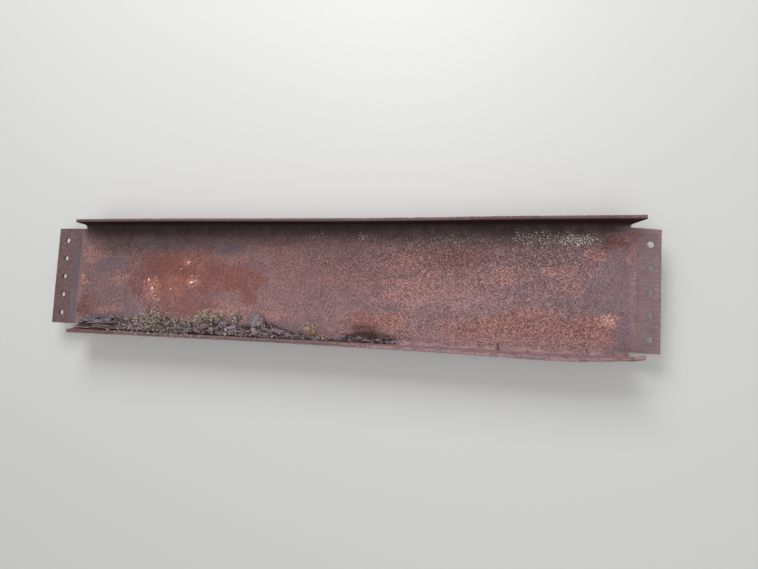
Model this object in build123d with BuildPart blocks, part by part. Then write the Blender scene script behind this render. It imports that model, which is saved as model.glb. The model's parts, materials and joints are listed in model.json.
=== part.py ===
"""Rolled steel girder with cut-back flanges and a bolted web tab at each end.

X runs along the girder, Y from the lower flange to the upper one, and Z up.
The girder lies on its side with its web level, on the edges of its flanges.
The origin is at floor level, midway between the two bolt rows and the flanges.
All sizes are in millimetres.
"""

import os
from math import radians, tan

from build123d import *

# Rolled section
section_depth = 454.7
flange_width = 152.8
flange_thickness = 13.3
web_thickness = 8.0
root_radius = 14.0

# Bolt rows, one in the tab at each end
bolt_row_spacing = 2286.0
bolt_pitch = 76.2
bolts_per_row = 5
bolt_hole_diameter = 20.6
bolt_row_drop = 3.0  # below the middle of the section

# Tab ends, measured outward from the bolt rows
left_edge_distance = 44.45
right_edge_distance = 31.75

# Flange ends at the middle of the web, measured inward from the bolt rows.
# Each end is cut on a slant that carries the raised edge towards +X.
left_flange_setback = 92.0
right_flange_setback = 63.5
left_slant = 6.0  # degrees
right_slant = 30.0  # degrees

# The cut above the right tab is askew and falls towards the tab's end
askew_cut = 5.0  # degrees

# The raised flange edges are bent beyond this straight strip beside the root
straight_strip = 4.0

# Bends of the raised edges: (share of the edge from its left end, distance outward)
upper_edge_bends = ((0, -1), (0.3, 0), (0.62, -1), (0.72, 1), (0.8, 3), (0.9, 4), (1, 4))
lower_edge_bends = ((0, 10), (0.15, 8), (0.38, 5), (0.6, 5), (0.8, 9), (0.9, 10), (1, -9))

# Derived places
half_depth = section_depth / 2
half_rows = bolt_row_spacing / 2
web_level = flange_width / 2
flange_inside = half_depth - flange_thickness
tab_half_depth = flange_inside - root_radius
fold_level = web_level + web_thickness / 2 + root_radius + straight_strip
left_tab_end = -half_rows - left_edge_distance
right_tab_end = half_rows + right_edge_distance
askew_rise = right_flange_setback * tan(radians(askew_cut))
askew_fall = right_edge_distance * tan(radians(askew_cut))
clearance = 50.0  # how far the cutters reach past the girder


def flange_ends(level):
    """Left and right end of the flanges at a height above the floor."""
    rise = level - web_level
    left = -half_rows + left_flange_setback + rise * tan(radians(left_slant))
    right = half_rows - right_flange_setback + rise * tan(radians(right_slant))
    return left, right


def straight_edge(side, offset):
    """The flange's face along the fold line, a given distance out from its inside."""
    left, right = flange_ends(fold_level)
    y = side * (flange_inside + offset)
    return Line((left, y), (right, y))


def bent_edge(side, offset, bends):
    """The same face along the bent raised edge."""
    left, right = flange_ends(flange_width)
    return Spline(
        *[
            (left + share * (right - left), side * (flange_inside + offset + bend))
            for share, bend in bends
        ]
    )


def close_strip(inside, outside):
    """Join two long edges into a closed strip."""
    Line(inside @ 0, outside @ 0)
    Line(inside @ 1, outside @ 1)


with BuildPart() as rolled_girder:
    # Web and flanges, without the bent strips along the raised edges
    with BuildSketch(Plane.YZ.offset(left_tab_end)):
        with Locations((0, web_level)):
            Rectangle(2 * flange_inside, web_thickness)
        for side in (-1, 1):
            with Locations((side * (half_depth - flange_thickness / 2), fold_level / 2)):
                Rectangle(flange_thickness, fold_level)
        web_faces = (web_level - web_thickness / 2, web_level + web_thickness / 2)
        fillet(vertices().filter_by_position(Axis.Y, *web_faces), root_radius)
    extrude(amount=right_tab_end - left_tab_end)

    # Flanges cut back at both ends, which leaves the web standing out as tabs
    low, high = -clearance, flange_width + clearance
    for end, beyond in enumerate((left_tab_end - clearance, right_tab_end + clearance)):
        for side in (-1, 1):
            rise = askew_rise if (end, side) == (1, 1) else 0
            with BuildSketch(Plane.XZ.offset(-side * (tab_half_depth + rise))):
                Polygon(
                    (flange_ends(low)[end], low),
                    (flange_ends(high)[end], high),
                    (beyond, high),
                    (beyond, low),
                    align=None,
                )
            extrude(amount=-side * (half_depth + clearance), mode=Mode.SUBTRACT)

    # Upper edge of the right tab
    with BuildSketch(Plane.XY.offset(web_level)):
        Polygon(
            (half_rows - right_flange_setback, tab_half_depth + askew_rise),
            (right_tab_end, tab_half_depth - askew_fall),
            (right_tab_end, tab_half_depth + askew_rise),
            align=None,
        )
    extrude(amount=web_thickness, both=True, mode=Mode.SUBTRACT)

    # Bent strips along the raised edges
    for side, bends in ((-1, lower_edge_bends), (1, upper_edge_bends)):
        with BuildSketch(Plane.XY.offset(fold_level)):
            with BuildLine():
                close_strip(
                    straight_edge(side, 0),
                    straight_edge(side, flange_thickness),
                )
            make_face()
        with BuildSketch(Plane.XY.offset(flange_width)):
            with BuildLine():
                close_strip(
                    bent_edge(side, 0, bends),
                    bent_edge(side, flange_thickness, bends),
                )
            make_face()
        loft(ruled=True)

    # Bolt holes through the tabs
    with Locations((0, -bolt_row_drop, web_level)):
        with GridLocations(bolt_row_spacing, bolt_pitch, 2, bolts_per_row):
            Hole(bolt_hole_diameter / 2)

rolled_girder.part.label = "rolled_girder"

os.makedirs("parts", exist_ok=True)
export_step(rolled_girder.part, "parts/rolled_girder.step")
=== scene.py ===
import json
import math
import random
from types import SimpleNamespace

import bmesh
import bpy
import numpy as np
from mathutils import Matrix, Vector, noise


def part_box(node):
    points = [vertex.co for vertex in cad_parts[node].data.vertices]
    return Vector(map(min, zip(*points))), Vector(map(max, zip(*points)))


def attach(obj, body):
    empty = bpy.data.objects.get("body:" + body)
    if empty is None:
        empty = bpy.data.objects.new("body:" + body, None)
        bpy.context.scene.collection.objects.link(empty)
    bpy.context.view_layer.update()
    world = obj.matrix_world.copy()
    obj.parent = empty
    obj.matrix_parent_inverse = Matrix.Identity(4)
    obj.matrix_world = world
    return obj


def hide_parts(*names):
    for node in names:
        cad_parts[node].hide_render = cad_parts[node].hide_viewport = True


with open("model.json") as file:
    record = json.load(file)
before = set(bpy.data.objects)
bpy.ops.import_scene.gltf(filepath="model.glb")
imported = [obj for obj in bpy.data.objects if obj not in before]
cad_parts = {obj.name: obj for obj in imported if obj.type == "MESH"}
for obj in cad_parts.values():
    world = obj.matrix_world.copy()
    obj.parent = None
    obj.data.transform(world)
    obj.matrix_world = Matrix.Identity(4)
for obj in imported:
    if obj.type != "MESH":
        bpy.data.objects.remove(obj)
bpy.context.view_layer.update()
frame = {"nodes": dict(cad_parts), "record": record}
scene = bpy.context.scene

# Sizes are in metres in the girder's frame, and in millimetres in the tables of places
mm = 0.001

# Camera
camera_place = Vector((0.852, -0.187, 2.171))
camera_aim = Vector((0.243, -0.003, 0.080))
camera_up = Vector((-0.026, 0.995, 0.095))
focal_length = 28.84  # millimetres, on the default 36 mm sensor

# Stage
floor_reach = 30
floor_colour = (0.6, 0.6, 0.59, 1)
key_place = Vector((-0.3, 3.2, 3.2))
key_size = 2.5
key_power = 140
sky_side = Vector((0.5, -1.0, 3.5))  # the direction that the sky light comes from
sky_spread = math.radians(50)
sky_strength = 0.95
world_strength = 0.40

# Spacing of the girder's mesh
step_along = 5.8 * mm
fillet_steps = 2
lip_steps = 8
inner_steps = fillet_steps + lip_steps
outer_steps = 2 * inner_steps + 1
edge_steps = 2
square_steps = 7  # along each side of the square round a bolt hole
hole_rings = 3  # between that square and its hole
bolt_numbers = range(-2, 3)  # counted from the middle hole of each row
askew_stations = 4  # stations inside the flange's right end that lead up to the askew tab edge
askew_rows = 8  # rows of the web below that edge that follow it
most_cut = 0.9  # of the fillet's radius, where the askew edge meets it


# Girder mesh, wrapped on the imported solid

class Shape:
    """The vertices and faces of a mesh while it is built."""

    def __init__(self):
        self.verts, self.faces = [], []

    def add(self, point):
        self.verts.append(tuple(point))
        return len(self.verts) - 1

    def grid(self, rows, skipped=()):
        """Add quads between neighbouring rows of vertex numbers, without the skipped places."""
        for i, (low, high) in enumerate(zip(rows, rows[1:])):
            for k in range(len(low) - 1):
                if (i, k) not in skipped:
                    self.faces.append((low[k], low[k + 1], high[k + 1], high[k]))

    def rings(self, rows):
        """Add quads between neighbouring closed rings of vertex numbers."""
        self.grid([ring + ring[:1] for ring in rows])


def read_girder():
    """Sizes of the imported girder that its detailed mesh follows."""
    node = frame["nodes"]["rolled_girder"]
    points = np.array([v.co for v in node.data.vertices], dtype=float)
    mounts = {m["name"]: m for m in frame["record"]["mounts"]}
    low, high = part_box("rolled_girder")
    g = SimpleNamespace(left=low[0], right=high[0], top=high[2], points=points)
    g.front = mounts["web_front"]["pos_m"][2]
    g.back = mounts["web_back"]["pos_m"][2]
    g.outside = mounts["upper_flange"]["pos_m"][1]
    g.thickness = 2 * (g.outside - mounts["upper_rest_edge"]["pos_m"][1])
    g.inside = g.outside - g.thickness
    g.toe = points[points[:, 0] < low[0] + mm, 1].max()
    g.radius = g.inside - g.toe
    levels = points[:, 2]
    g.fold = levels[levels > g.front + g.radius + mm].min()
    on_floor, on_top = (points[abs(levels - level) < mm, 0] for level in (0.0, g.top))
    g.floor_ends = (on_floor.min(), on_floor.max())
    g.top_ends = (on_top.min(), on_top.max())
    g.bolt_rows = [mounts[side + "_middle_bolt"]["pos_m"][0] for side in ("left", "right")]
    g.bolt_middle = mounts["left_middle_bolt"]["pos_m"][1]
    g.bolt_radius = mounts["left_middle_bolt"]["dims"]["r_mm"] * mm
    g.bolt_pitch = mounts["left_inner_bolts"]["dims"]["spacing_y_mm"] * mm / 2
    g.half_square = g.bolt_pitch / 4
    g.lips = {side: read_lip(g, side) for side in (-1, 1)}
    g.tab_edge = read_tab_edge(g)
    return g


def read_lip(g, side):
    """Where the outside of a raised flange edge runs, as X and distance from the middle."""
    points = g.points[abs(g.points[:, 2] - g.top) < mm]
    edge = points[points[:, 1] * side > 0][:, :2] * (1, side)
    twins = edge - (0, g.thickness)
    gaps = np.linalg.norm(twins[:, None] - edge[None], axis=2).min(axis=1)
    outer = edge[gaps < 0.5 * mm]
    return outer[outer[:, 0].argsort()]


def read_tab_edge(g):
    """The upper edge of the right tab, which is askew, as X and Y of its corner and its tip."""
    points = g.points
    on_middle = abs(points[:, 2] - (g.front + g.back) / 2) < 0.5 * mm
    corner = points[on_middle & (points[:, 0] > 0)][0]
    end = points[points[:, 0] > g.right - mm]
    return corner[:2], end[end[:, 1].argmax()][:2]


def flange_x(g, share, level):
    """X at a share of the flange's length, at a height above the floor."""
    up = level / g.top
    left = g.floor_ends[0] * (1 - up) + g.top_ends[0] * up
    right = g.floor_ends[1] * (1 - up) + g.top_ends[1] * up
    return left + (right - left) * share


def steps(start, end, count):
    """Evenly spaced values from start up to, but without, end."""
    return list(np.linspace(start, end, count, endpoint=False))


def station_values(g):
    """X of each station along the web, where the bolt squares begin, and where the flanges start and end."""
    half = g.half_square
    left_row, right_row = g.bolt_rows
    start, end = flange_x(g, 0, g.front), flange_x(g, 1, g.front)
    stops = [g.left, left_row - half, left_row + half, start]
    stops += [end, right_row - half, right_row + half, g.right]
    squares = (1, 5)
    xs, marks = [], []
    for number, (a, b) in enumerate(zip(stops, stops[1:])):
        marks.append(len(xs))
        xs += steps(a, b, square_steps if number in squares else max(2, round((b - a) / step_along)))
    xs.append(stops[-1])
    return np.array(xs), [marks[number] for number in squares], marks[3:5]


def row_values(g):
    """Y of each row on the web, and the rows where the bolt squares begin."""
    half = g.half_square
    stops = [-g.toe]
    for number in bolt_numbers:
        middle = g.bolt_middle + number * g.bolt_pitch
        stops += [middle - half, middle + half]
    stops.append(g.toe)
    spacing = 2 * half / square_steps
    ys, marks = [], []
    for a, b in zip(stops, stops[1:]):
        marks.append(len(ys))
        ys += steps(a, b, max(2, round((b - a) / spacing)))
    ys.append(stops[-1])
    return np.array(ys), marks[1::2]


def tab_rise(g, xs, last, x):
    """How far the askew upper edge of the right tab stands above the toe of the fillet."""
    corner, tip = g.tab_edge
    bends = (xs[last - askew_stations], xs[last], tip[0])
    return float(np.interp(x, bends, (g.toe, corner[1], tip[1]))) - g.toe


def web_rows(shape, g, xs, ys, shares, level):
    """Rows of vertices along one face of the web. The stations in shares follow the flanges' slanted ends."""
    last = max(shares)
    rows = []
    for y in ys:
        above = max(0.0, (y - ys[-askew_rows]) / (ys[-1] - ys[-askew_rows]))
        row = []
        for number, x in enumerate(xs):
            if number in shares:
                x = flange_x(g, shares[number], level)
            rise = tab_rise(g, xs, last, x) if number > last - askew_stations else 0.0
            row.append(shape.add((x, y + above * rise, level)))
        rows.append(row)
    return rows


def add_hole(shape, g, faces_of_web, column, row, middle):
    """A bolt hole, with rings that close in on it from a square on each face of the web."""
    n = square_steps
    walls = []
    for rows in faces_of_web:
        square = [rows[row][column + k] for k in range(n)]
        square += [rows[row + k][column + n] for k in range(n)]
        square += [rows[row + n][column + n - k] for k in range(n)]
        square += [rows[row + n - k][column] for k in range(n)]
        corners = np.array([shape.verts[v] for v in square])
        centre = np.array((*middle, corners[0][2]))
        away = corners - centre
        rim = centre + away / np.linalg.norm(away, axis=1)[:, None] * g.bolt_radius
        rings = [square]
        for ring in range(1, hole_rings + 1):
            part = ring / hole_rings
            rings.append([shape.add(point) for point in corners * (1 - part) + rim * part])
        shape.rings(rings)
        walls.append(rings[-1])
    half_way = [shape.add((np.array(shape.verts[a]) + shape.verts[b]) / 2) for a, b in zip(*walls)]
    shape.rings([walls[0], half_way, walls[1]])


def flange_loop(g, side, share, cut):
    """Points of the flange's section from the front toe round to the back toe."""
    radius = g.radius
    start = math.asin(min(most_cut, cut / radius))
    fillet = []
    for k in range(fillet_steps + 1):
        angle = start + (math.pi / 2 - start) * k / fillet_steps
        fillet.append((g.toe + radius * math.sin(angle), radius * (1 - math.cos(angle))))
    lip_height = g.top - g.front - radius
    floor_height = g.back - radius
    front = [(y, g.front + z) for y, z in fillet]
    front += [(g.inside, g.front + radius + lip_height * k / lip_steps) for k in range(1, lip_steps + 1)]
    back = [(y, g.back - z) for y, z in fillet]
    back += [(g.inside, floor_height * (1 - k / lip_steps)) for k in range(1, lip_steps + 1)]
    outer = [(g.outside, g.top * (1 - k / outer_steps)) for k in range(outer_steps + 1)]
    edge = [g.inside + g.thickness * k / edge_steps for k in range(1, edge_steps)]
    loop = front + [(y, g.top) for y in edge] + outer + [(y, 0.0) for y in edge[::-1]] + back[::-1]
    lip = g.lips[side]
    bend = np.interp(flange_x(g, share, g.top), lip[:, 0], lip[:, 1]) - g.outside
    points = []
    for y, z in loop:
        bent = bend * max(0.0, (z - g.fold) / (g.top - g.fold))
        points.append((flange_x(g, share, z), side * (y + bent), z))
    return points


def add_flange_cap(shape, loop):
    """A ladder of quads across the end of a flange, from its inner side to its outer one."""
    front = loop[:inner_steps + 1]
    top_edge = loop[inner_steps:inner_steps + edge_steps + 1]
    outer = loop[inner_steps + edge_steps:inner_steps + edge_steps + outer_steps + 1]
    back = loop[-inner_steps - 1:]
    floor_edge = loop[-inner_steps - 1 - edge_steps:-inner_steps]
    inner = front[::-1] + back[::-1]
    rungs = [top_edge]
    for a, b in zip(inner[1:-1], outer[1:-1]):
        start, end = np.array(shape.verts[a]), np.array(shape.verts[b])
        between = [shape.add(start + (end - start) * k / edge_steps) for k in range(1, edge_steps)]
        rungs.append([a, *between, b])
    rungs.append(floor_edge[::-1])
    shape.grid(rungs)


def add_flange(shape, g, xs, shares, side, front, back):
    """A flange that grows from an edge row on the front of the web and one on its back."""
    last = max(shares)
    loops = []
    for number, share in shares.items():
        askew = side == 1 and number > last - askew_stations
        cut = tab_rise(g, xs, last, xs[number]) if askew else 0.0
        points = flange_loop(g, side, share, cut)
        shape.verts[front[number]] = points[0]
        shape.verts[back[number]] = points[-1]
        middle = [shape.add(point) for point in points[1:-1]]
        loops.append([front[number], *middle, back[number]])
    shape.grid(loops)
    add_flange_cap(shape, loops[0])
    add_flange_cap(shape, loops[-1])


def build_girder(g):
    """Vertices and faces of the whole girder."""
    shape = Shape()
    xs, columns, (first, last) = station_values(g)
    ys, bolt_rows = row_values(g)
    shares = dict(zip(range(first, last + 1), (xs[first:last + 1] - xs[first]) / (xs[last] - xs[first])))
    front = web_rows(shape, g, xs, ys, shares, g.front)
    back = web_rows(shape, g, xs, ys, shares, g.back)
    holes = [
        (column, row, (middle_x, g.bolt_middle + number * g.bolt_pitch))
        for column, middle_x in zip(columns, g.bolt_rows)
        for row, number in zip(bolt_rows, bolt_numbers)
    ]
    across = range(square_steps)
    skipped = {(row + i, column + k) for column, row, _ in holes for i in across for k in across}
    shape.grid(front, skipped)
    shape.grid(back, skipped)
    for hole in holes:
        add_hole(shape, g, (front, back), *hole)
    for side, row in ((-1, 0), (1, -1)):
        add_flange(shape, g, xs, shares, side, front[row], back[row])

    # Tab edges and ends
    for row in (0, -1):
        for stretch in (slice(0, first + 1), slice(last, None)):
            shape.grid([front[row][stretch], back[row][stretch]])
    for number in (0, -1):
        shape.grid([[row[number] for row in front], [row[number] for row in back]])
    return shape.verts, shape.faces


def mesh_object(name, verts, faces, material):
    mesh = bpy.data.meshes.new(name)
    mesh.from_pydata(verts, [], faces)
    bm = bmesh.new()
    bm.from_mesh(mesh)
    bmesh.ops.recalc_face_normals(bm, faces=bm.faces)
    bm.to_mesh(mesh)
    bm.free()
    mesh.materials.append(material)
    piece = bpy.data.objects.new(name, mesh)
    scene.collection.objects.link(piece)
    return piece


# Weathering of the girder

# Patches on the front of the web: X and Y of the middle, half width, half height, and strength in percent
web_patches = {
    "orange": (
        (-995, 98, 70, 45, 50), (-1062, 140, 6, 70, 35), (-1047, -15, 20, 22, 65), (-860, -10, 45, 35, 55),
        (-900, -132, 75, 12, 70), (-785, 50, 20, 30, 30), (-530, 85, 80, 40, 35), (-490, 45, 20, 30, 60),
        (-600, -40, 50, 60, 50), (-705, -45, 45, 50, 90), (-530, -15, 45, 22, 80), (-550, 64, 20, 16, 80),
        (-350, -110, 80, 35, 50), (-160, -132, 60, 18, 60), (170, -125, 60, 25, 50), (280, -130, 70, 40, 70),
        (330, 75, 80, 35, 60), (320, 7, 75, 10, 80), (340, -40, 90, 40, 65), (530, 0, 160, 60, 28),
        (420, 10, 40, 60, 60), (480, -20, 80, 12, 50), (690, 37, 35, 35, 80), (900, 15, 35, 55, 50),
        (980, 110, 35, 25, 70), (840, 60, 30, 20, 50), (550, -155, 120, 45, 45), (540, -185, 70, 15, 60),
        (640, -125, 30, 20, 90), (780, -85, 70, 22, 80), (950, -160, 30, 25, 60), (1020, -105, 28, 30, 100),
        (1070, 167, 12, 12, 90), (660, -215, 250, 12, 30), (700, -140, 160, 35, 60),
    ),
    "red": (
        (-600, 20, 220, 115, 100), (-340, 10, 140, 70, 85), (-780, -52, 30, 30, 80),
        (-530, -100, 160, 50, 70), (-270, -70, 40, 30, 80), (-1020, -120, 50, 50, 60),
        (-170, 115, 100, 50, 35), (540, 100, 130, 45, 60), (1030, 155, 50, 25, 80), (220, -135, 100, 35, 50),
        (-440, -70, 50, 30, 60), (1075, 100, 25, 70, 40), (20, 30, 260, 110, 28), (400, 80, 250, 60, 22),
    ),
    "slate": (
        (-920, 50, 75, 35, 80), (-820, -90, 30, 60, 80), (-780, -145, 100, 20, 90), (-930, -80, 90, 40, 40),
        (-370, 115, 60, 25, 80), (-580, 138, 240, 26, 60), (-265, 65, 20, 15, 60), (320, 29, 75, 8, 60),
        (290, -90, 40, 11, 80), (142, -100, 18, 14, 90), (230, -110, 30, 20, 50), (735, -15, 20, 25, 50),
        (885, -47, 25, 22, 80), (980, -20, 90, 60, 60), (1005, 87, 18, 14, 90), (1050, 60, 50, 80, 60),
        (1072, -150, 32, 45, 60), (1065, -50, 22, 140, 60), (973, -207, 12, 8, 100),
        (1030, -195, 60, 14, 60), (450, -148, 30, 20, 50), (1095, -60, 16, 150, 35), (50, -50, 180, 60, 25),
        (-120, -170, 140, 20, 60), (490, -212, 30, 6, 90),
    ),
    "deep": (
        (-860, 115, 200, 30, 70), (-450, 125, 250, 35, 45), (100, 95, 180, 60, 50), (550, 55, 60, 25, 40),
        (620, 155, 450, 28, 70), (940, 135, 140, 20, 40), (380, 95, 200, 34, 80), (800, 95, 140, 32, 65),
        (320, 70, 520, 50, 42), (620, 95, 140, 30, 50), (900, 95, 100, 28, 45), (360, 50, 280, 40, 45),
        (-1058, 60, 10, 150, 45), (-900, 0, 220, 170, 40), (-170, 155, 200, 30, 40),
        (-1040, -145, 45, 35, 65), (-1030, -30, 30, 100, 50),
    ),
    "worn": (
        (1167, 0, 14, 260, 32), (1092, -20, 12, 160, 20), (520, -55, 160, 40, 30), (112, -195, 12, 22, 90),
        (1080, 100, 12, 22, 35), (550, -213, 160, 10, 80), (900, -210, 220, 8, 25), (973, -205, 8, 12, 100),
        (360, -212, 40, 12, 80),
    ),
    "pale": (
        (930, 166, 72, 28, 48), (800, 165, 100, 32, 38), (725, 175, 30, 22, 40), (520, 160, 200, 34, 29),
        (175, 172, 30, 18, 38), (0, 170, 50, 22, 35), (-720, 128, 30, 6, 36),
    ),
    "stain": (
        (200, -190, 85, 20, 85), (270, -190, 50, 16, 60), (205, -168, 65, 24, 50), (672, -205, 5, 14, 95),
        (672, -207, 12, 4, 70), (-50, -205, 100, 10, 50), (956, -200, 4, 10, 60),
    ),
}

# Bright scratches: X and Y of the middle, half length, half width, slant in degrees, strength in percent
scratches = (
    (-550, 64, 5, 5, 0, 100), (-540, 70, 6, 3, 40, 60), (-725, -6, 7, 4, 80, 90), (-745, -14, 7, 4, 20, 60),
    (-707, -42, 9, 5, 5, 100), (-716, -28, 6, 4, -60, 65), (-704, -56, 6, 3, -60, 60),
    (-690, -73, 7, 3, -30, 75), (-673, -85, 8, 4, -40, 85), (-620, -42, 4, 4, 0, 100),
    (-643, -15, 6, 3, 85, 55), (-531, -15, 7, 5, 0, 100), (-516, -9, 13, 3, 28, 90),
    (-530, -32, 24, 3, 10, 55), (-495, 12, 4, 4, 0, 60), (-530, 6, 10, 3, 88, 50), (-575, 38, 9, 3, 5, 50),
    (-622, -115, 6, 4, 0, 55), (-600, -55, 10, 3, 80, 45), (-462, -85, 5, 3, 60, 50),
    (1022, -98, 20, 24, 0, 50), (1000, -90, 14, 10, 0, 42),
)

# Upper edge of the orange-red region at the lower right of the web, as X and Y
hill_line = (
    (400, -150), (500, -128), (600, -118), (670, -92), (745, -70), (830, -70), (860, -92), (910, -102),
    (950, -90), (985, -85), (1020, -120), (1060, -180),
)

# How far the dark band reaches down the web from the upper flange, as X and distance; the band is painted
# shade mixed with damp grime
dark_reach = (
    (-1200, 1), (-1070, 12), (-1030, 55), (-950, 95), (-600, 92), (-300, 70), (200, 56), (600, 50),
    (980, 42), (1060, 22), (1110, 1),
)

# X in metres of places along the girder, and how pitted the steel is there
pit_x = (-1.2, -1.07, -0.8, -0.2, 0.3, 0.95, 1.1, 1.12)
pit_strength = (0.6, 0.75, 0.90, 0.85, 1.2, 1.35, 0.7, 0.2)
pit_depth = 0.9 * mm
relief_depth = 0.5 * mm  # of broad waves, of steel lost between the footprints, and of scratches

left_footprint = -1.068  # edges of the strips that joint plates once covered
right_footprint = 1.107
slate_band = 0.036
soft_edge = 1.5 * mm
fray = 0.45  # how ragged a patch's edge is, as a share of its half size
patch_reach = 1.4  # square of the share of its half size at which a patch has faded out
stroke_reach = 1.6


def field(points, size, seed, octaves=1):
    """Smooth noise from about -1 to 1, with features of a given size."""
    shift = Vector((seed * 7.3, seed * 3.1, seed * 5.7))
    scaled = points / size
    if octaves == 1:
        return np.array([noise.noise(Vector(p) + shift) for p in scaled])
    return np.array([noise.fractal(Vector(p) + shift, 1.0, 2.0, octaves) for p in scaled])


def ramp(values, start, end):
    """0 before start, 1 after end, and smooth between."""
    t = np.clip((values - start) / (end - start), 0, 1)
    return t * t * (3 - 2 * t)


def metres(sizes):
    return [size / 1000 for size in sizes]


def along(x, line):
    """The second value of a line's table at X."""
    return np.interp(x, *(np.array(line) / 1000).T)


def patches(surface, spots):
    """Strength of a set of soft oval patches with ragged edges."""
    total = np.zeros(len(surface.x))
    for *sizes, percent in spots:
        middle_x, middle_y, half_width, half_height = metres(sizes)
        across = (surface.x - middle_x) / half_width + fray * surface.ragged[0]
        up = (surface.y - middle_y) / half_height + fray * surface.ragged[1]
        total = np.maximum(total, percent / 100 * np.clip(patch_reach - across ** 2 - up ** 2, 0, 1))
    return total


def strokes(surface, marks):
    """Strength of a set of slanted strokes."""
    total = np.zeros(len(surface.x))
    for *sizes, slant, percent in marks:
        middle_x, middle_y, half_length, half_width = metres(sizes)
        turn = math.radians(slant)
        x, y = surface.x - middle_x, surface.y - middle_y
        lengthways = (x * math.cos(turn) + y * math.sin(turn)) / half_length
        across = (y * math.cos(turn) - x * math.sin(turn)) / half_width
        total = np.maximum(total, percent / 100 * np.clip(stroke_reach - lengthways ** 2 - across ** 2, 0, 1))
    return total


def read_surface(g, points, normals):
    """Which face of the girder each point lies on, and the noise that varies its rust."""
    x, y, z = points.T
    up = normals[:, 2]
    fillet_top = g.front + g.radius
    front = (up > 0.8) & (abs(z - g.front) < 2 * mm)
    front |= (up > 0.1) & (z < fillet_top) & (z > g.back)
    raised = (z > fillet_top) & (abs(y) > g.toe)
    between = ramp(x, left_footprint - soft_edge, left_footprint)
    between *= ramp(-x, -right_footprint - soft_edge, -right_footprint)
    return SimpleNamespace(
        x=x, y=y, front=front, between_footprints=between,
        inner_face=raised & (normals[:, 1] * np.sign(y) < -0.5), top_edge=raised & (up > 0.8),
        band=(x < left_footprint) & (x > left_footprint - slate_band),
        ragged=(field(points, 0.03, 1, 3), field(points, 0.03, 2, 3)),
        broad=field(points, 0.25, 3, 4), middling=field(points, 0.09, 4, 4),
    )


def lay(masks, **more):
    """Strengthen some kinds of rust where they are weaker than the values given."""
    for name, values in more.items():
        masks[name] = np.maximum(masks[name], values)


def lay_patches(surface):
    """Rust by the tables on the front of the web, and in plain patches from noise elsewhere."""
    plain = {
        "orange": 0.5 * ramp(surface.broad, 0.1, 0.6), "red": 0.6 * ramp(-surface.broad, 0.0, 0.5),
        "slate": 0.6 * ramp(surface.middling, 0.2, 0.6), "deep": 0.5 * ramp(-surface.middling, 0.1, 0.6),
    }
    masks = {}
    for name, spots in web_patches.items():
        laid, elsewhere = patches(surface, spots), plain.get(name, 0.0)
        masks[name] = np.where(surface.front, np.maximum(laid, 0.35 * elsewhere), elsewhere)
    for name in plain:
        masks[name] *= surface.between_footprints
    masks["bright"] = np.where(surface.front, strokes(surface, scratches), 0)
    return masks


def lay_hill(surface, masks):
    """The orange-red region at the lower right of the web."""
    x, y = surface.x, surface.y
    hill = ramp(along(x, hill_line) + 6 * mm * surface.ragged[0] - y, -4 * mm, 12 * mm)
    for values, start, end in ((x, 0.40, 0.62), (-x, -1.06, -1.01), (y, -0.208, -0.19)):
        hill = hill * ramp(values, start, end)
    lay(masks, orange=0.50 * hill * surface.front, red=0.45 * hill * surface.front)


def lay_footprints(surface, masks):
    """What joint plates left on the tabs: a slate band, brown and slate rust, and a dark seam."""
    x, y, band = surface.x, surface.y, surface.band
    left_tab = ramp(-x, -left_footprint, -left_footprint + soft_edge)
    right_tab = ramp(x, right_footprint, right_footprint + soft_edge)
    seam = np.clip(1.5 - abs(x - right_footprint) / (3 * mm), 0, 1) * ramp(y, -0.12, -0.08)
    masks["slate"] = np.where(band & surface.front, ramp(-y, -0.17, -0.09), masks["slate"])
    lay(masks, slate=0.3 * left_tab * ~band, deep=0.75 * left_tab * ~band)
    lay(masks, deep=left_tab * (0.3 + 0.35 * ramp(y, 0.07, 0.13)))
    lay(masks, slate=(0.5 + 0.3 * surface.middling) * right_tab, worn=0.15 * right_tab)
    lay(masks, stain=0.15 * seam * surface.front)


def lay_flanges(g, surface, masks):
    """The dark band under the upper flange, which is painted shade mixed with damp grime, the painted shadow
    on that flange's inner face, and the rubbed or dulled raised edges of both flanges.
    """
    x, y, front = surface.x, surface.y, surface.front
    below = np.maximum(0, g.inside - y + 12 * mm * surface.ragged[0]) / along(x, dark_reach)
    # The inner face of the upper flange is painted near black all over: a painted shadow
    masks["soot"] = np.where(surface.inner_face & (y > 0), 1.0, 0.0)
    # The web is painted darker towards the upper flange: painted shade mixed with damp grime
    masks["dark"] = np.where(front & (y > 0), np.exp(-below ** 1.6), masks["soot"])
    rubbed = ramp(x, 0.08, 0.28) * (y < 0)
    lay(masks, worn=0.55 * rubbed * surface.top_edge)
    lay(masks, worn=0.5 * rubbed * surface.inner_face)
    upper = np.interp(x, (-1, 1), (0.95, 0.70))
    dulled = np.where(y > 0, upper, 0.85 * (1 - rubbed)) + 0.25 * surface.middling
    band = 0.45 * (surface.band & front) * ramp(y, -0.08, -0.02)
    masks["dull"] = np.where(surface.top_edge, dulled.clip(0, 1), band)


def lay_strips(surface, masks):
    """The worn strip beside the lower flange, with the softer one above it, and how pitted the steel is."""
    x, y = surface.x, surface.y
    strip = ramp(-y, 0.196, 0.206) * ramp(x, 0.2, 0.4)
    above = ramp(-y, 0.150, 0.185) * ramp(x, 0.35, 0.50) * ramp(-x, -1.05, -1.0)
    worn = np.interp(x, (0.80, 0.95), (0.80, 0.45)) * strip
    lay(masks, worn=np.maximum(worn, 0.35 * above) * surface.front)
    masks["orange"] *= 1 - 0.8 * strip
    masks["pits"] = np.interp(x, pit_x, pit_strength) * (1 - 0.5 * np.minimum(1, masks["slate"]))
    masks["pits"] *= 1 - 0.1 * strip


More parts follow.
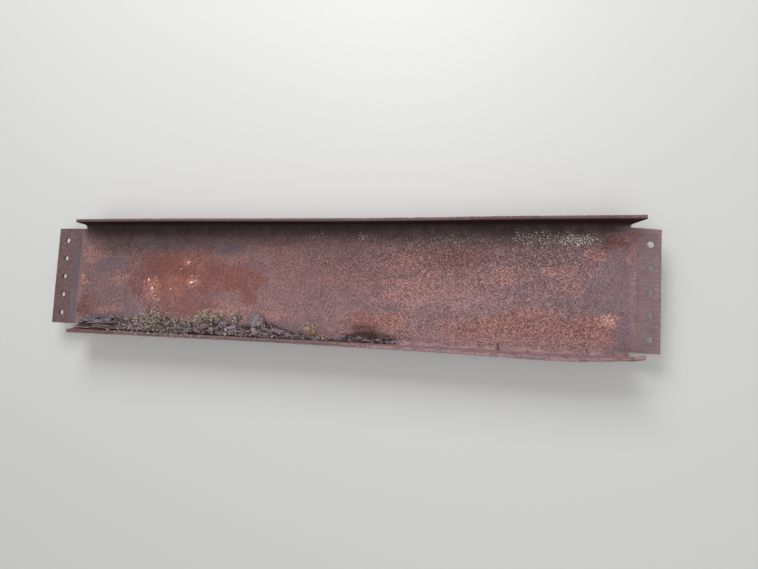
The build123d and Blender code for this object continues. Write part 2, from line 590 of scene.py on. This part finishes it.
def weather(g, points, normals):
    """How much of each kind of rust lies at each point, and how far the point is raised."""
    surface = read_surface(g, points, normals)
    masks = lay_patches(surface)
    lay_hill(surface, masks)
    lay_footprints(surface, masks)
    lay_flanges(g, surface, masks)
    lay_strips(surface, masks)
    coarse, small = (ramp(field(points, size, seed), 0.0, 0.6) for size, seed in ((0.013, 5), (0.0085, 6)))
    height = -pit_depth * masks["pits"] * (coarse + 0.6 * small)
    height += relief_depth * field(points, 0.05, 7)
    height -= relief_depth * surface.between_footprints
    height += relief_depth * masks["bright"]
    return masks, height


def roughen(g, piece):
    """Pit the girder's mesh and store its kinds of rust on it."""
    mesh = piece.data
    count = len(mesh.vertices)
    points, normals = np.empty(count * 3), np.empty(count * 3)
    mesh.vertices.foreach_get("co", points)
    mesh.vertex_normals.foreach_get("vector", normals)
    points, normals = points.reshape(-1, 3), normals.reshape(-1, 3)
    masks, height = weather(g, points, normals)
    on_floor = points[:, 2] < 1 * mm
    moved = points + normals * np.where(on_floor, 0, height)[:, None]
    mesh.vertices.foreach_set("co", moved.ravel())
    for name, values in masks.items():
        layer = mesh.attributes.new(name, "FLOAT", "POINT")
        layer.data.foreach_set("value", values.astype(np.float32))
    mesh.shade_smooth()
    mesh.set_sharp_from_angle(angle=math.radians(50))


# Materials

class Paint:
    """A material whose nodes are made by short calls, each of which returns the node's output."""

    def __init__(self, name, roughness, gloss=0.3):
        self.material = bpy.data.materials.new(name)
        self.material.use_nodes = True
        self.tree = self.material.node_tree
        self.shader = self.tree.nodes["Principled BSDF"]
        self.fill(self.shader, {"Roughness": roughness, "Specular IOR Level": gloss})

    def fill(self, node, inputs):
        """Link each input of a node to a socket, or set it to a value."""
        for name, value in inputs.items():
            if isinstance(value, bpy.types.NodeSocket):
                self.tree.links.new(value, node.inputs[name])
            else:
                node.inputs[name].default_value = value

    def new(self, kind):
        return self.tree.nodes.new("ShaderNode" + kind)

    def noise(self, size, detail, seed, stretch=1):
        """Noise of a given feature size on the girder's own coordinates, drawn out along X."""
        coordinates, mapping, texture = self.new("TexCoord"), self.new("Mapping"), self.new("TexNoise")
        texture.noise_dimensions = "4D"
        self.fill(mapping, {"Vector": coordinates.outputs["Object"], "Scale": (1 / stretch, 1, 1)})
        self.fill(texture, {"Vector": mapping.outputs["Vector"], "W": seed})
        self.fill(texture, {"Scale": 1 / size, "Detail": detail})
        return texture.outputs["Fac"]

    def read(self, name):
        """A value that is stored on the mesh."""
        node = self.new("Attribute")
        node.attribute_name = name
        return node.outputs["Fac"]

    def math(self, operation, a, b):
        node = self.new("Math")
        node.operation = operation
        self.fill(node, {0: a, 1: b})
        return node.outputs[0]

    def times(self, a, b):
        return self.math("MULTIPLY", a, b)

    def plus(self, a, b):
        return self.math("ADD", a, b)

    def ramp(self, value, start, end):
        node = self.new("MapRange")
        self.fill(node, {"Value": value, "From Min": start, "From Max": end})
        return node.outputs["Result"]

    def mix(self, share, first, second):
        """A colour between two, each of which is a socket or three values."""
        node = self.new("Mix")
        node.data_type = "RGBA"
        first, second = ((*colour, 1) if isinstance(colour, tuple) else colour for colour in (first, second))
        self.fill(node, {"Factor": share, "A": first, "B": second})
        return node.outputs["Result"]

    def specks(self, size, seed, mask):
        """Sharp specks that stand apart where a mask is weak and close up where it is strong."""
        start = self.math("SUBTRACT", 0.80, self.times(mask, 0.50))
        return self.ramp(self.noise(size, 1, seed), start, self.plus(start, 0.05))

    def finish(self, colour, **more):
        self.fill(self.shader, {"Base Color": colour, **more})
        return self.material


# Colours of the rust, of the grains in it, of what lies over it, and of the painted shade and painted shadow
# under the upper flange
tints = {
    "shade": (0.186, 0.110, 0.117), "plain": (0.256, 0.138, 0.144),
    "red": (0.190, 0.069, 0.058), "slate": (0.145, 0.118, 0.145), "deep": (0.082, 0.047, 0.052),
    "orange": (0.32, 0.145, 0.125), "grain": (0.50, 0.33, 0.315), "red grain": (0.40, 0.17, 0.13),
    "orange grain": (0.66, 0.32, 0.24), "hollow": (0.055, 0.032, 0.040), "worn": (0.43, 0.28, 0.30),
    # Under the upper flange, dark is painted shade mixed with damp grime, and the near black after it is a
    # painted shadow on the flange's inner face
    "stain": (0.034, 0.014, 0.011), "dark": (0.033, 0.025, 0.023), "soot": (0.034, 0.012, 0.010),
    "dull": (0.095, 0.084, 0.084), "pale": (0.090, 0.075, 0.066), "fleck": (0.82, 0.74, 0.65),
    "bright": (0.95, 0.54, 0.42),
}

# Sizes of the rust's noises
mottle_size = 40 * mm
uneven_size = 9 * mm
streak_size = 5 * mm
crumb_size = 3.7 * mm
fleck_size = 3.6 * mm
glint_size = 3.4 * mm
grain_size = 3.1 * mm
bump_size = 2.2 * mm


def rust_material():
    """Mottled rust with light and dark grains, under what is worn, stained, dulled or flecked, and under the
    painted shade and painted shadow of the upper flange.
    """
    paint = Paint("rust", 0.88, gloss=0.15)
    read, noise_of, times, mix = paint.read, paint.noise, paint.times, paint.mix
    orange, red, pits, pale = read("orange"), read("red"), read("pits"), read("pale")
    crumbs = noise_of(crumb_size, 1, 2)
    colour = mix(paint.ramp(noise_of(mottle_size, 5, 3), 0.35, 0.65), tints["shade"], tints["plain"])
    uneven = paint.plus(noise_of(uneven_size, 3, 4), 0.5)
    for name in ("red", "slate", "deep"):
        colour = mix(times(read(name), uneven), colour, tints[name])
    colour = mix(times(orange, 0.35), colour, tints["orange"])

    light = paint.ramp(noise_of(grain_size, 1, 1), 0.50, 0.55)
    grain_colour = mix(red, tints["grain"], tints["red grain"])
    colour = mix(times(light, times(pits, 0.44)), colour, grain_colour)
    colour = mix(times(light, times(orange, 0.6)), colour, tints["orange grain"])
    hollow = paint.ramp(crumbs, 0.50, 0.45)
    colour = mix(times(hollow, times(pits, 0.46)), colour, tints["hollow"])

    streaks = paint.ramp(noise_of(streak_size, 2, 8, stretch=6), 0.42, 0.56)
    colour = mix(times(read("worn"), streaks), colour, tints["worn"])
    # Stain and dulling, and the painted shade and painted shadow under the upper flange
    for name in ("stain", "dark", "soot", "dull"):
        colour = mix(read(name), colour, tints[name])
    colour = mix(times(pale, 0.75), colour, tints["pale"])
    colour = mix(paint.specks(fleck_size, 5, pale), colour, tints["fleck"])
    colour = mix(paint.specks(glint_size, 6, read("bright")), colour, tints["bright"])

    relief = paint.plus(crumbs, times(noise_of(bump_size, 2, 7), 0.5))
    bump = paint.new("Bump")
    paint.fill(bump, {"Distance": 1.2 * mm, "Strength": 0.8, "Height": relief})
    return paint.finish(colour, Normal=bump.outputs["Normal"])


# Dirt in the trough between the web and the lower flange

# Where the heap ends on the web: X, Y of its edge, height against the flange
heap_line = (
    (-1048, -204, 4), (-1020, -185, 16), (-980, -170, 28), (-870, -165, 38), (-820, -184, 42),
    (-760, -167, 50), (-690, -147, 56), (-620, -164, 54), (-550, -171, 52), (-470, -168, 52),
    (-400, -172, 48), (-290, -180, 40), (-200, -163, 38), (-100, -184, 32), (-30, -197, 26), (80, -208, 14),
    (130, -198, 20), (200, -192, 22), (270, -203, 16), (330, -211, 6),
)
heap_x, heap_y, heap_height = np.array(heap_line).T / 1000
soil_columns, soil_rows = 460, 16

# How many there are of each small part
loose_scales = 330
light_chips = 150
stain_scales = 60
slivers = 64
slab_scales = 44
stone_count = 170
edge_stems = 170
weed_stems = 22
leaves_on_stem = 5
fallen_leaves = 30
stem_steps = 7

# Dark and light colour of each kind of dirt, and the size of its mottle
dirt = {
    "soil": ((0.024, 0.018, 0.017), (0.21, 0.15, 0.135), 6 * mm),
    "stones": ((0.10, 0.09, 0.085), (0.66, 0.62, 0.60), 4 * mm),
    "dry_grass": ((0.036, 0.030, 0.025), (0.84, 0.67, 0.55), 20 * mm),
    "moss": ((0.028, 0.023, 0.021), (0.70, 0.60, 0.51), 10 * mm),
    "weed": ((0.060, 0.036, 0.020), (0.82, 0.53, 0.35), 10 * mm),
}


def dirt_material(name):
    """A mottled matt material between two colours, which each small part shades by its tone."""
    dark, light, size = dirt[name]
    paint = Paint(name, 0.9)
    mottle = paint.ramp(paint.noise(size, 4, 6), 0.3, 0.7)
    share = paint.plus(paint.times(mottle, 0.3), paint.times(paint.read("tone"), 0.75))
    return paint.finish(paint.mix(share, dark, light))


def flake_material():
    """Rust scale, red, brown to mauve, or blue-grey by its tone."""
    paint = Paint("scale", 0.65)
    tone = paint.read("tone")
    mottle = paint.ramp(paint.noise(5 * mm, 4, 8), 0.4, 0.6)
    colour = paint.mix(tone, (0.034, 0.022, 0.025), (0.38, 0.265, 0.28))
    colour = paint.mix(paint.ramp(tone, 1.0, 1.8), colour, (0.18, 0.205, 0.26))
    colour = paint.mix(paint.ramp(tone, 0.0, -1.0), colour, (0.30, 0.11, 0.08))
    return paint.finish(paint.mix(paint.times(mottle, 0.7), colour, (0.035, 0.025, 0.027)))


def heap_edge(x):
    """Y of the edge of the heap on the web."""
    return float(np.interp(x, heap_x, heap_y))


def heap_top(g, x, y):
    """Height above the floor of the heap of soil, without its lumps."""
    edge = heap_edge(x)
    share = np.clip((edge - y) / (edge + g.inside), 0, 1)
    return float(g.front + np.interp(x, heap_x, heap_height) * share ** 0.7)


def make_soil(g):
    """A closed lumpy bank of soil along the trough."""
    shape = Shape()
    tops, bottoms = [], []
    for i in range(soil_columns + 1):
        x = heap_x[0] + (heap_x[-1] - heap_x[0]) * i / soil_columns
        edge = heap_edge(x) + 6 * mm * noise.noise(Vector((x * 60, 3, 0)))
        top_row, bottom_row = [], []
        for k in range(soil_rows + 1):
            y = edge + (-g.inside - 0.5 * mm - edge) * k / soil_rows
            lump = 0.5 + noise.fractal(Vector((x * 90, y * 90, 1)), 1.0, 2.0, 4)
            z = heap_top(g, x, y) + 7 * mm * lump * min(1, k / 2) - 1 * mm
            top_row.append(shape.add((x, y, max(z, g.front - 1 * mm))))
            bottom_row.append(shape.add((x, y, g.front - 3 * mm)))
        tops.append(top_row)
        bottoms.append(bottom_row)
    shape.grid(tops)
    shape.grid(bottoms)
    for k in (0, -1):
        shape.grid([[row[k] for row in tops], [row[k] for row in bottoms]])
    for i in (0, -1):
        shape.grid([tops[i], bottoms[i]])
    soil = mesh_object("soil", shape.verts, shape.faces, dirt_material("soil"))
    soil.data.shade_smooth()
    return soil


def joined_mesh(name, parts, material):
    """One mesh from many small ones, each with its own tone."""
    verts, faces, tones = [], [], []
    for part_verts, part_faces, tone in parts:
        start = len(verts)
        verts += part_verts
        faces += [tuple(start + v for v in face) for face in part_faces]
        tones += tone if isinstance(tone, list) else [tone] * len(part_faces)
    piece = mesh_object(name, verts, faces, material)
    layer = piece.data.attributes.new("tone", "FLOAT", "FACE")
    layer.data.foreach_set("value", tones)
    return piece


def plate(rng, length, width, thickness):
    """A broken scale of rust as a flat closed shape with a ragged outline."""
    corners = rng.randint(5, 8)
    ring = []
    for k in range(corners):
        angle = 2 * math.pi * (k + rng.uniform(-0.3, 0.3)) / corners
        reach = rng.uniform(0.6, 1.0)
        ring.append((length / 2 * reach * math.cos(angle), width / 2 * reach * math.sin(angle)))
    curl = rng.uniform(-0.4, 0.8)
    verts = []
    for level, inset in ((0, 0.94), (thickness * 0.5, 1.0), (thickness, 0.9)):
        for x, y in ring:
            x, y = x * inset, y * inset
            verts.append(Vector((x, y, level + curl * (x * x / length + y * y / width))))
    n = corners
    faces = [tuple(range(n))[::-1], tuple(range(2 * n, 3 * n))]
    for level in (0, n):
        faces += [(level + k, level + (k + 1) % n, level + n + (k + 1) % n, level + n + k) for k in range(n)]
    return verts, faces


def ball(subdivisions):
    """Vertices and faces of a round ball of radius 1."""
    bm = bmesh.new()
    bmesh.ops.create_icosphere(bm, subdivisions=subdivisions, radius=1)
    verts = [vertex.co.copy() for vertex in bm.verts]
    faces = [tuple(vertex.index for vertex in face.verts) for face in bm.faces]
    bm.free()
    return verts, faces


def turned(yaw, lean=0.0, roll=0.0):
    """A turn by the roll about Y, then by the lean about X, and then by the yaw about Z."""
    return Matrix.Rotation(yaw, 3, "Z") @ Matrix.Rotation(lean, 3, "X") @ Matrix.Rotation(roll, 3, "Y")


def placed(verts, turn, place):
    return [tuple(turn @ v + place) for v in verts]


# Tones of loose scale: red below 0, dark brown to mauve from 0 to 1, and blue-grey above 1
scale_tones = (0.0, 0.05, 0.15, 0.3, 0.4, 0.55, 0.7, 1.0, 1.5)


def lay_plate(g, rng, x, y, length, width, yaw, lean, lift, tone=None):
    """A scale on the heap, whose tone is drawn if none is given."""
    verts, faces = plate(rng, length, width, rng.uniform(1.5, 3.5) * mm)
    turn = turned(yaw, lean, rng.gauss(0, 0.10))
    # Clear of the heap's left end and of the flange, and higher the more it leans
    x = max(x, heap_x[0] + length / 2)
    y = max(y, -g.inside + width * 0.36)
    z = heap_top(g, x, y) + lift + abs(math.sin(lean)) * width / 2 * 0.6
    return placed(verts, turn, Vector((x, y, z))), faces, rng.choice(scale_tones) if tone is None else tone


def make_lump(g, x, y, half_width, half_depth, half_height):
    """A rounded rough lump of scale, blue-grey on its left and brown on its right."""
    scale = Vector((half_width, half_depth, half_height))
    place = Vector((x, y, heap_top(g, x, y) + 0.4 * half_height))
    verts, faces = ball(4)
    for number, co in enumerate(verts):
        spot = co + Vector((x * 100, 0, 0))
        rough = 0.22 * noise.noise(spot * 1.3) + 0.16 * noise.noise(spot * 4) + 0.10 * noise.noise(spot * 9)
        layers = 0.05 * math.sin(22 * co.z + 5 * co.x + 3 * noise.noise(spot * 2))
        verts[number] = co * scale * (1 + rough + layers) + place
    tones = []
    for face in faces:
        middle = sum((verts[v] for v in face), Vector()) / len(face)
        across = (x - middle.x) / half_width + 0.5 * noise.noise(middle * 90)
        tones.append(1.15 + 0.6 * math.tanh(3 * across) + noise.noise(middle * 250))
    return [tuple(co) for co in verts], faces, tones


# Single scales in the trough: X, Y, length, width, yaw and lean in radians, lift, tone
single_flakes = (
    (-856, -172, 14, 30, 0.1, 0.9, 16, 0.0), (-184, -166, 12, 40, 0.15, 0.5, 8, 0.0),
    (-1000, -206, 95, 7, 0.06, 0.3, 18, 1.0), (-990, -213, 110, 6, 0.03, 0.2, 20, 0.9),
    (-320, -184, 50, 16, 0.05, 0.1, 18, 1.0), (-300, -198, 55, 16, 0.1, 0.3, 12, 0.8),
    (-440, -188, 60, 26, 0.1, 0.3, 14, 0.75), (-120, -190, 80, 22, -0.2, 0.2, 12, 0.8),
    (-150, -172, 60, 16, -0.35, 0.3, 14, 0.1), (-170, -186, 62, 18, -0.40, 0.4, 14, 0.9),
    (-85, -199, 70, 14, -0.15, 0.3, 14, 1.3), (-50, -200, 45, 12, -0.30, 0.3, 12, 0.5),
    (300, -207, 70, 16, 0.05, 0.2, 10, 1.5), (255, -202, 36, 16, 0.2, 0.3, 12, 1.2),
    (215, -205, 46, 14, -0.1, 0.3, 10, 0.6), (115, -200, 18, 36, 0.1, 0.4, 12, 0.95),
    (-525, -166, 14, 10, 0.4, 0.4, 14, -1.0), (-418, -200, 16, 10, 0.2, 0.5, 16, -0.8),
    (-610, -190, 12, 8, 0.9, 0.4, 16, -0.7),
)

# Domed lumps: X, Y, half width, half depth, half height
domed_lumps = ((-221, -163, 31, 30, 20), (-366, -173, 21, 16, 13))


def make_flakes(g):
    """Rust scale that has fallen into the trough."""
    rng = random.Random(5)
    between = rng.uniform
    parts = []

    def lay_one(*sizes):
        parts.append(lay_plate(g, rng, *sizes))

    for _ in range(loose_scales):
        x = between(-0.90, 0.02)
        edge = heap_edge(x)
        y = edge + (-g.inside - edge) * rng.random() ** 0.8
        length = between(12, 44) * mm
        lay_one(x, y, length, length * between(0.3, 0.7), rng.gauss(0, 0.5), between(-0.2, 0.7), 4 * mm)
    # Light chips along the flange
    for _ in range(light_chips):
        x, y = between(-0.90, 0.12), -g.inside + between(2, 16) * mm
        length, tone = between(8, 26) * mm, rng.choice((0.4, 0.7, 0.9, 1.0, 1.3))
        lay_one(x, y, length, length * between(0.3, 0.5), rng.gauss(0, 0.4), between(0, 0.6), 8 * mm, tone)
    # Scale below the stain, dark and light
    for _ in range(stain_scales):
        x, y = between(0.13, 0.30), between(-0.212, -0.196)
        length, tone = between(10, 32) * mm, rng.choice((0.0, 0.1, 0.4, 0.8, 1.0, 1.3))
        lay_one(x, y, length, length * between(0.3, 0.7), rng.gauss(0, 0.3), between(0, 0.7), 3 * mm, tone)
    # Long slivers stacked at the left end
    for _ in range(slivers):
        lay_one(
            between(-1.00, -0.83), between(-0.214, -0.183), between(70, 170) * mm, between(4, 9) * mm,
            rng.gauss(0.03, 0.06), between(-0.2, 0.6), between(3, 16) * mm,
            rng.choice((0.0, 0.0, 0.05, 0.3, 0.7, 1.0, 1.0, 1.2)),
        )
    # Rough blue-grey slab on top of them
    for _ in range(slab_scales):
        lay_one(
            between(-1.01, -0.87), between(-0.186, -0.165), between(20, 60) * mm, between(6, 14) * mm,
            rng.gauss(0.1, 0.2), between(0, 0.6), between(12, 19) * mm, rng.choice((0.2, 1.2, 1.4, 1.6, 1.8)),
        )
    for *sizes, yaw, lean, lift, tone in single_flakes:
        lay_one(*metres(sizes), yaw, lean, lift / 1000, tone)
    parts += [make_lump(g, *metres(sizes)) for sizes in domed_lumps]
    return joined_mesh("rust_flakes", parts, flake_material())


def make_stones(g):
    rng = random.Random(11)
    parts = []
    round_verts, faces = ball(2)
    for _ in range(stone_count):
        x = rng.uniform(-1.04, 0.05)
        edge = heap_edge(x)
        y = edge + (-g.inside + 4 * mm - edge) * rng.random()
        size = rng.uniform(1.5, 4.5) * mm
        shift = Vector((rng.random() * 50, 0, 0))
        scale = Vector((size * rng.uniform(0.8, 1.5), size, size * rng.uniform(0.6, 0.9)))
        turn = turned(rng.uniform(0, 3.14))
        verts = [co * scale * (1 + 0.3 * noise.noise(co + shift)) for co in round_verts]
        place = Vector((x, y, heap_top(g, x, y) + 5 * mm))
        parts.append((placed(verts, turn, place), faces, rng.random()))
    return joined_mesh("stones", parts, dirt_material("stones"))


def stem(g, rng, start, lean, length, radius):
    """A thin dry stem as a closed three-sided tube that curls, inside the trough."""
    verts, faces = [], []
    point, course = start.copy(), lean.normalized()
    axis = Vector((rng.gauss(0, 1), rng.gauss(0, 1), rng.gauss(0, 1))).normalized()
    curl = Matrix.Rotation(rng.gauss(0.25, 0.35), 3, axis)
    for k in range(stem_steps + 1):
        wide = radius * (1 - 0.7 * k / stem_steps)
        side = course.orthogonal().normalized()
        up = course.cross(side)
        for corner in range(3):
            angle = 2 * math.pi * corner / 3
            verts.append(tuple(point + side * wide * math.cos(angle) + up * wide * math.sin(angle)))
        point = point + course * length / stem_steps
        point.y = max(point.y, -g.inside + 3 * mm)
        point.z = max(point.z, g.front + 2 * mm)
        course = (curl @ course).normalized()
    for k in range(stem_steps):
        for corner in range(3):
            a, b = 3 * k + corner, 3 * k + (corner + 1) % 3
            faces.append((a, b, b + 3, a + 3))
    tip = 3 * stem_steps
    faces += [(2, 1, 0), (tip, tip + 1, tip + 2)]
    return verts, faces


# Tufts of dry grass: X and Y of the middle, spread along X, longest stem, numbers of stems and leaf crumbs
tufts = (
    (-700, -162, 26, 44, 200, 340), (-640, -187, 45, 34, 140, 300), (-530, -186, 40, 36, 110, 220),
    (-470, -163, 24, 44, 110, 60), (-405, -150, 16, 46, 50, 20), (-315, -145, 12, 42, 36, 10),
    (-310, -196, 35, 28, 80, 110), (-210, -200, 45, 26, 70, 90), (-785, -190, 32, 30, 80, 150),
    (-890, -204, 30, 22, 30, 50), (-90, -203, 50, 20, 24, 60),
)


def make_grass(g):
    rng = random.Random(23)
    parts = []
    for *sizes, count, _ in tufts:
        middle_x, middle_y, spread, longest = metres(sizes)
        for _ in range(count):
            x = rng.gauss(middle_x, spread)
            y = min(max(rng.gauss(middle_y, 0.013), -g.inside + 5 * mm), -0.13)
            start = Vector((x, y, heap_top(g, x, y)))
            lean = Vector((rng.gauss(0, 0.8), rng.gauss(0.2, 0.6), rng.uniform(0.15, 0.9)))
            tube = stem(g, rng, start, lean, longest * rng.uniform(0.35, 1.0), rng.uniform(0.9, 2.0) * mm)
            parts.append((*tube, rng.choice((0.0, 0.1, 0.3, 0.8, 1.0))))
    # Stems and crumbs that lie on the raised edge of the flange
    for _ in range(edge_stems):
        x, y = rng.triangular(-0.88, -0.24, -0.62), -g.inside - g.thickness * rng.uniform(0.1, 1.0)
        verts, faces = plate(rng, rng.uniform(8, 32) * mm, rng.uniform(1.2, 3) * mm, 1.2 * mm)
        verts = placed(verts, turned(rng.gauss(0.2, 0.7)), Vector((x, y, g.top - 1 * mm)))
        parts.append((verts, faces, rng.choice((0.0, 0.05, 0.1, 0.2, 0.5))))
    return joined_mesh("dry_grass", parts, dirt_material("dry_grass"))


def make_moss(g):
    """Crumbs of moss and dead leaf among the grass."""
    rng = random.Random(31)
    parts = []
    for *sizes, _, count in tufts:
        middle_x, middle_y, spread, _ = metres(sizes)
        for _ in range(count):
            x = rng.gauss(middle_x, spread)
            y = min(max(rng.gauss(middle_y - 6 * mm, 0.013), -g.inside + 4 * mm), -0.145)
            verts, faces = plate(rng, rng.uniform(5, 15) * mm, rng.uniform(2.5, 6) * mm, 0.6 * mm)
            turn = turned(rng.uniform(0, 6.28), rng.uniform(-1.2, 1.2))
            place = Vector((x, y, heap_top(g, x, y) + rng.uniform(2, 12) * mm))
            parts.append((placed(verts, turn, place), faces, rng.choice((0.0, 0.0, 0.1, 0.3, 0.9))))
    return joined_mesh("moss", parts, dirt_material("moss"))


def make_weed(g):
    """The small yellowed weed near the middle of the trough."""
    rng = random.Random(7)
    parts = []
    for _ in range(weed_stems):
        start = Vector((rng.gauss(0.0, 0.005), -0.200 + rng.gauss(0, 0.003), g.front + 8 * mm))
        lean = Vector((rng.gauss(0, 0.35), rng.uniform(0.5, 1.0), rng.uniform(0.3, 0.9)))
        tube = stem(g, rng, start, lean, rng.uniform(0.03, 0.065), 1.0 * mm)
        parts.append((*tube, rng.random() * 0.5))
        for _ in range(leaves_on_stem):
            verts, faces = plate(rng, rng.uniform(5, 10) * mm, rng.uniform(3, 5) * mm, 0.5 * mm)
            turn = turned(rng.uniform(0, 6.28), rng.uniform(-1, 1))
            place = start + lean.normalized() * rng.uniform(0.005, 0.058)
            parts.append((placed(verts, turn, place), faces, rng.random()))
    # Its fallen leaves
    for _ in range(fallen_leaves):
        verts, faces = plate(rng, rng.uniform(4, 9) * mm, rng.uniform(3, 5) * mm, 0.6 * mm)
        x, y = rng.gauss(0.045, 0.012), rng.uniform(-0.209, -0.195)
        place = Vector((x, y, g.front + rng.uniform(8, 18) * mm))
        turn = turned(rng.uniform(0, 6.28), rng.uniform(-1, 1))
        parts.append((placed(verts, turn, place), faces, rng.random()))
    return joined_mesh("weed", parts, dirt_material("weed"))


# Stage

def make_camera():
    """A camera at the photograph's viewing angle."""
    data = bpy.data.cameras.new("camera")
    data.lens = focal_length
    camera = bpy.data.objects.new("camera", data)
    back = (camera_place - camera_aim).normalized()
    right = camera_up.cross(back).normalized()
    up = back.cross(right)
    turn = Matrix((right, up, back)).transposed().to_4x4()
    camera.matrix_world = Matrix.Translation(camera_place) @ turn
    scene.collection.objects.link(camera)
    scene.camera = camera


def make_floor():
    corners = [(x * floor_reach, y * floor_reach, 0) for x, y in ((-1, -1), (1, -1), (1, 1), (-1, 1))]
    material = bpy.data.materials.new("floor")
    material.use_nodes = True
    material.node_tree.nodes["Principled BSDF"].inputs["Base Color"].default_value = floor_colour
    floor = mesh_object("floor", corners, [(0, 1, 2, 3)], material)


def make_light(data, power, turn, place=(0, 0, 0)):
    data.energy = power
    light = bpy.data.objects.new(data.name, data)
    light.location = place
    light.rotation_mode = "QUATERNION"
    light.rotation_quaternion = turn
    scene.collection.objects.link(light)


def make_lights():
    """A soft lamp, a wide sky light that lights the whole floor alike, and a white world."""
    key = bpy.data.lights.new("key", "AREA")
    key.shape = "SQUARE"
    key.size = key_size
    make_light(key, key_power, (-key_place).to_track_quat("-Z", "Y"), key_place)
    sky = bpy.data.lights.new("sky", "SUN")
    sky.angle = sky_spread
    make_light(sky, sky_strength, sky_side.to_track_quat("Z", "Y"))
    world = bpy.data.worlds.new("world")
    world.use_nodes = True
    background = world.node_tree.nodes["Background"]
    background.inputs["Color"].default_value = (1, 1, 1, 1)
    background.inputs["Strength"].default_value = world_strength
    scene.world = world


make_camera()
make_floor()
make_lights()
scene.view_settings.view_transform = "Standard"

girder_sizes = read_girder()
girder = mesh_object("girder", *build_girder(girder_sizes), rust_material())
roughen(girder_sizes, girder)
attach(girder, "root")
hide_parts("rolled_girder")
for make in (make_soil, make_flakes, make_stones, make_grass, make_moss, make_weed):
    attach(make(girder_sizes), "root")
